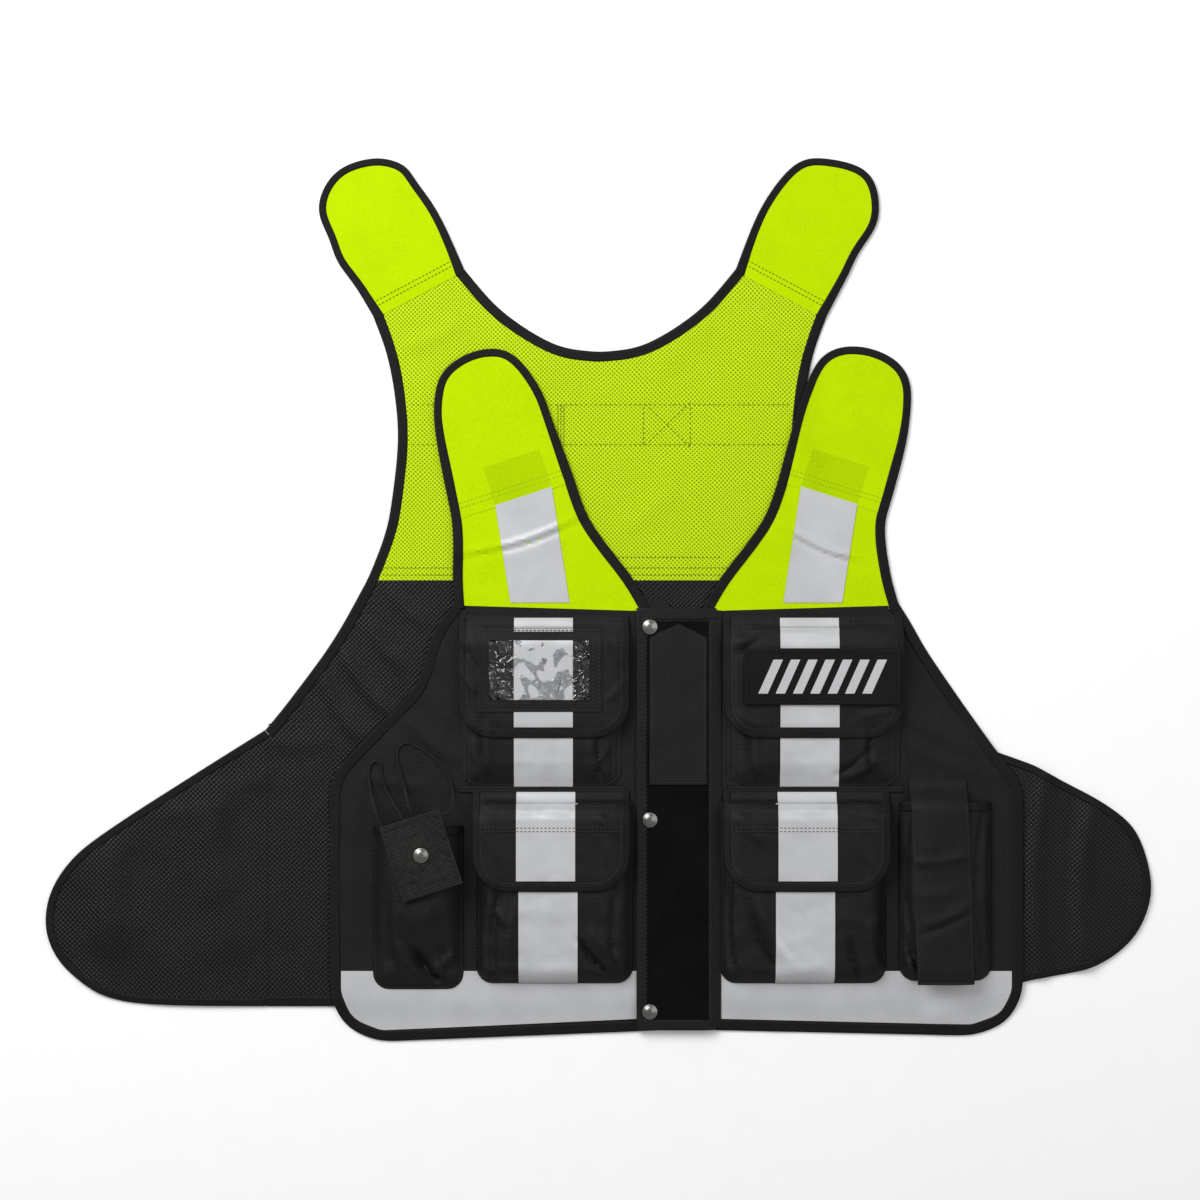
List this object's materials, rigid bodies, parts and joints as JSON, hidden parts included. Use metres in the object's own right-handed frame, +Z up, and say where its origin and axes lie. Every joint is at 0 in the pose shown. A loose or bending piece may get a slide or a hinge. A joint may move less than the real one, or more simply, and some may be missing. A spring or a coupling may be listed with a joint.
{
  "type": "high visibility vest",
  "caption": "Two-tone utility safety vest laid flat: mesh back with side wings, press-stud front, flapped pockets, radio pocket, clear card window, reflective tape and open shoulder straps.",
  "frame": {"origin": "bottom centre of the whole vest as it lies flat on a surface, back downwards", "axes": "+X to the right of someone who looks at the front, +Y from hem to shoulders, +Z up out of the front face"},
  "size_m": [0.9412, 0.7524, 0.0327],
  "materials": {
    "lime_mesh": "knitted polyester mesh, fluorescent lime",
    "lime_cloth": "brushed polyester, fluorescent lime",
    "black_mesh": "knitted polyester mesh, black",
    "black_oxford": "coated polyester oxford cloth, black",
    "edge_binding": "folded grosgrain edge binding, black",
    "reflective_tape": "silver glass-bead reflective tape",
    "hook_and_loop": "hook tape, black",
    "loop_pile": "loop tape on oxford cloth, black",
    "webbing": "woven nylon webbing, charcoal",
    "clear_window": "clear flexible PVC film",
    "gunmetal": "gunmetal plated brass press stud",
    "badge": "black badge with silver reflective stripes",
    "elastic_cord": "braided elastic cord, black"
  },
  "bodies": {
    "back": {"back_yoke": "lime_mesh", "back_body": "black_mesh", "back_neck_binding": "edge_binding", "back_arm_binding_left": "edge_binding", "back_arm_binding_right": "edge_binding", "back_hem_binding": "edge_binding", "back_webbing_band": "webbing", "wing_right_root": "black_mesh"},
    "wing_left": {"wing_left": "black_mesh"},
    "wing_right": {"wing_right": "black_mesh"},
    "back_strap_left": {"back_strap_left": "lime_cloth"},
    "back_strap_right": {"back_strap_right": "lime_cloth"},
    "side_left": {"side_hook_strip_left": "hook_and_loop"},
    "side_right": {"side_hook_strip_right": "hook_and_loop"},
    "front_left": {"left_panel": "black_oxford", "left_yoke": "lime_cloth", "left_edge_binding": "edge_binding", "left_yoke_tape": "reflective_tape", "left_hem_tape": "reflective_tape", "left_upper_pocket": "black_oxford", "left_upper_pocket_tape": "reflective_tape", "left_lower_pocket": "black_oxford", "left_lower_pocket_tape": "reflective_tape", "radio_pocket": "black_oxford", "snap_stud_top": "gunmetal", "snap_stud_middle": "gunmetal", "snap_stud_bottom": "gunmetal"},
    "front_right": {"right_panel": "black_oxford", "right_yoke": "lime_cloth", "right_edge_binding": "edge_binding", "right_yoke_tape": "reflective_tape", "right_hem_tape": "reflective_tape", "right_upper_pocket": "black_oxford", "right_upper_pocket_tape": "reflective_tape", "right_lower_pocket": "black_oxford", "right_lower_pocket_tape": "reflective_tape", "torch_pouch": "black_oxford"},
    "left_strap": {"left_strap": "lime_cloth"},
    "right_strap": {"right_strap": "lime_cloth"},
    "left_upper_flap": {"left_upper_flap": "black_oxford", "left_upper_flap_tape": "reflective_tape", "id_window_frame": "black_oxford", "id_window": "clear_window"},
    "left_lower_flap": {"left_lower_flap": "black_oxford", "left_lower_flap_tape": "reflective_tape"},
    "right_upper_flap": {"right_upper_flap": "black_oxford", "right_upper_flap_tape": "reflective_tape"},
    "right_lower_flap": {"right_lower_flap": "black_oxford", "right_lower_flap_tape": "reflective_tape"},
    "closure_flap": {"closure_flap": "loop_pile", "snap_cap_top": "gunmetal", "snap_cap_middle": "gunmetal", "snap_cap_bottom": "gunmetal"},
    "closure_tab": {"closure_tab": "black_oxford"},
    "torch_flap": {"torch_flap": "webbing"},
    "name_badge": {"name_badge": "badge"},
    "radio_pad": {"radio_pad": "webbing", "radio_snap_cap": "gunmetal", "radio_loop_long": "elastic_cord", "radio_loop_short": "elastic_cord"}
  },
  "joints": [
    {"name": "wing_left_fold", "type": "hinge", "parent": "back", "child": "wing_left", "pos_m": [-0.28399, -0.23, 0.0015], "axis": [0, -1, 0], "range_deg": [-110, 0]},
    {"name": "wing_right_fold", "type": "hinge", "parent": "back", "child": "wing_right", "pos_m": [0.3716, -0.23, 0.0015], "axis": [0, 1, 0], "range_deg": [-110, 0]},
    {"name": "back_strap_left_fold", "type": "hinge", "parent": "back", "child": "back_strap_left", "pos_m": [-0.1147, 0.2821, 0.0015], "axis": [-0.8827, -0.47, 0], "range_deg": [-120, 0]},
    {"name": "back_strap_right_fold", "type": "hinge", "parent": "back", "child": "back_strap_right", "pos_m": [0.1173, 0.2821, 0.0015], "axis": [-0.8827, 0.47, 0], "range_deg": [-120, 0]},
    {"name": "side_right_lift", "type": "slide", "parent": "back", "child": "side_right", "axis": [0, 0, 1], "range_m": [0, 0.12]},
    {"name": "side_left_lift", "type": "slide", "parent": "back", "child": "side_left", "axis": [0, 0, 1], "range_m": [0, 0.12]},
    {"name": "front_right_open", "type": "hinge", "parent": "side_right", "child": "front_right", "pos_m": [0.36131, -0.18, 0.0044], "axis": [0, 1, 0], "range_deg": [0, 120]},
    {"name": "front_left_open", "type": "hinge", "parent": "side_left", "child": "front_left", "pos_m": [-0.22869, -0.18, 0.0044], "axis": [0, 1, 0], "range_deg": [-120, 0]},
    {"name": "closure_flap_open", "type": "hinge", "parent": "front_right", "child": "closure_flap", "pos_m": [0.0973, -0.18, 0.007], "axis": [0, 1, 0], "range_deg": [0, 110]},
    {"name": "closure_tab_open", "type": "hinge", "parent": "closure_flap", "child": "closure_tab", "pos_m": [0.0678, -0.1572, 0.0085], "axis": [-1, 0, 0], "range_deg": [-150, 0]},
    {"name": "left_strap_fold", "type": "hinge", "parent": "front_left", "child": "left_strap", "pos_m": [-0.02069, 0.1028, 0.0041], "axis": [0.9505, 0.3107, 0], "range_deg": [0, 100]},
    {"name": "right_strap_fold", "type": "hinge", "parent": "front_right", "child": "right_strap", "pos_m": [0.15331, 0.1028, 0.0041], "axis": [0.9547, -0.2977, 0], "range_deg": [0, 100]},
    {"name": "left_upper_flap_open", "type": "hinge", "parent": "front_left", "child": "left_upper_flap", "pos_m": [-0.046, -0.0152, 0.0156], "axis": [1, 0, 0], "range_deg": [-150, 0]},
    {"name": "left_lower_flap_open", "type": "hinge", "parent": "front_left", "child": "left_lower_flap", "pos_m": [-0.04, -0.1632, 0.0213], "axis": [1, 0, 0], "range_deg": [-150, 0]},
    {"name": "right_upper_flap_open", "type": "hinge", "parent": "front_right", "child": "right_upper_flap", "pos_m": [0.183, -0.0152, 0.0156], "axis": [1, 0, 0], "range_deg": [-150, 0]},
    {"name": "right_lower_flap_open", "type": "hinge", "parent": "front_right", "child": "right_lower_flap", "pos_m": [0.177, -0.1632, 0.0213], "axis": [1, 0, 0], "range_deg": [-150, 0]},
    {"name": "torch_flap_open", "type": "hinge", "parent": "front_right", "child": "torch_flap", "pos_m": [0.288, -0.1542, 0.0226], "axis": [1, 0, 0], "range_deg": [-150, 0]},
    {"name": "name_badge_lift", "type": "slide", "parent": "right_upper_flap", "child": "name_badge", "axis": [0, 0, 1], "range_m": [0, 0.02]},
    {"name": "radio_pad_swivel", "type": "hinge", "parent": "front_left", "child": "radio_pad", "pos_m": [-0.14969, -0.2157, 0.0294], "axis": [0, 0, 1], "range_deg": [0, 20]}
  ],
  "couplings": [
    {"joint": "side_left_lift", "follows": "side_right_lift", "ratio": 1},
    {"joint": "front_left_open", "follows": "front_right_open", "ratio": -1}
  ]
}
